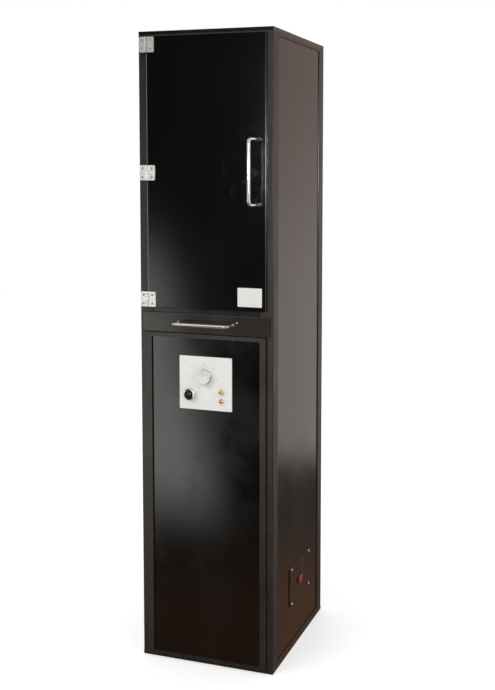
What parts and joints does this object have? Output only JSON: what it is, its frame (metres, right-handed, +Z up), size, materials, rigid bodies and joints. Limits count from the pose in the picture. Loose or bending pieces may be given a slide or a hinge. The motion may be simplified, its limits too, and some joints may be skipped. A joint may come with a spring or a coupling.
{
  "type": "uv sterilizer cabinet",
  "caption": "Tall narrow black cabinet with a gloss hinged door over a treatment chamber, a shallow drawer, and a service panel with timer knob, push button and sockets.",
  "frame": {"origin": "middle of the base plate's underside", "axes": "+Z up, front faces -Y, hinges on the -X side"},
  "size_m": [0.4069, 0.5003, 1.785],
  "materials": {
    "black_frame": "satin black coat",
    "black_panel": "smooth semi-gloss black",
    "side_sheet": "fine satin black",
    "gloss_black": "mirror gloss black",
    "polished_liner": "bright rolled sheet",
    "nickel": "polished nickel",
    "chrome": "polished chrome",
    "galvanised": "zinc plated",
    "white_plate": "satin white",
    "satin_silver": "satin turned",
    "brass": "bright turned",
    "black_plastic": "moulded black",
    "red_plastic": "moulded red",
    "soft_seal": "soft black",
    "lamp_glass": "clear quartz with end caps",
    "white_plastic": "moulded white"
  },
  "bodies": {
    "cabinet": {"base_plate": "black_frame", "top_panel": "black_frame", "post_front_left": "black_frame", "post_front_right": "black_frame", "post_rear_left": "black_frame", "post_rear_right": "black_frame", "top_rail_front": "black_frame", "top_rail_rear": "black_frame", "top_rail_left": "black_frame", "top_rail_right": "black_frame", "drawer_rail_lower": "black_frame", "drawer_rail_upper": "black_frame", "front_panel_surround": "black_frame", "front_panel": "black_panel", "side_panel_left": "side_sheet", "side_panel_right": "side_sheet", "rear_panel": "side_sheet", "side_cover": "side_sheet", "chamber_floor": "polished_liner", "chamber_ceiling": "polished_liner", "chamber_liner": "polished_liner", "lamp_reflector": "polished_liner", "hinge_frame_leaf_1": "nickel", "hinge_frame_leaf_2": "nickel", "hinge_frame_leaf_3": "nickel", "push_button_housing": "chrome", "wire_shelf_1": "chrome", "wire_shelf_2": "chrome", "wire_shelf_3": "chrome", "shelf_rack_left": "galvanised", "shelf_rack_right": "galvanised", "drawer_runner_left": "galvanised", "drawer_runner_right": "galvanised", "ballast": "galvanised", "control_plate": "white_plate", "signal_sockets": "brass", "door_catch": "black_plastic", "door_switch": "black_plastic", "timer_body": "black_plastic", "rocker_frame": "black_plastic", "mains_inlet": "black_plastic", "uv_tube_left": "lamp_glass", "uv_tube_right": "lamp_glass", "lamp_bracket_bottom": "white_plastic", "lamp_bracket_top": "white_plastic"},
    "door": {"door_panel": "gloss_black", "door_handle": "chrome", "door_seal": "soft_seal", "door_strike": "nickel", "hinge_door_leaf_1": "nickel", "hinge_door_leaf_2": "nickel", "hinge_door_leaf_3": "nickel"},
    "drawer": {"drawer_front": "black_frame", "drawer_tray": "galvanised", "drawer_handle": "chrome", "drawer_slide_left": "galvanised", "drawer_slide_right": "galvanised"},
    "knob": {"timer_knob": "satin_silver"},
    "button": {"push_button": "black_plastic"},
    "rocker": {"power_rocker": "red_plastic"}
  },
  "joints": [
    {"name": "door_hinge", "type": "hinge", "parent": "cabinet", "child": "door", "pos_m": [-0.173, -0.2328, 1.3995], "axis": [0, 0, -1], "range_deg": [0, 110]},
    {"name": "drawer_slide", "type": "slide", "parent": "cabinet", "child": "drawer", "axis": [0, -1, 0], "range_m": [0, 0.28]},
    {"name": "knob_turn", "type": "hinge", "parent": "cabinet", "child": "knob", "pos_m": [-0.0015, -0.2256, 0.8315], "axis": [0, 1, 0], "range_deg": [0, 300]},
    {"name": "button_press", "type": "slide", "parent": "cabinet", "child": "button", "axis": [0, 1, 0], "range_m": [0, 0.005], "stiffness_N_per_m": 300},
    {"name": "rocker_tilt", "type": "hinge", "parent": "cabinet", "child": "rocker", "pos_m": [0.1981, 0.011, 0.1855], "axis": [0, 0, -1], "range_deg": [0, 14]}
  ]
}
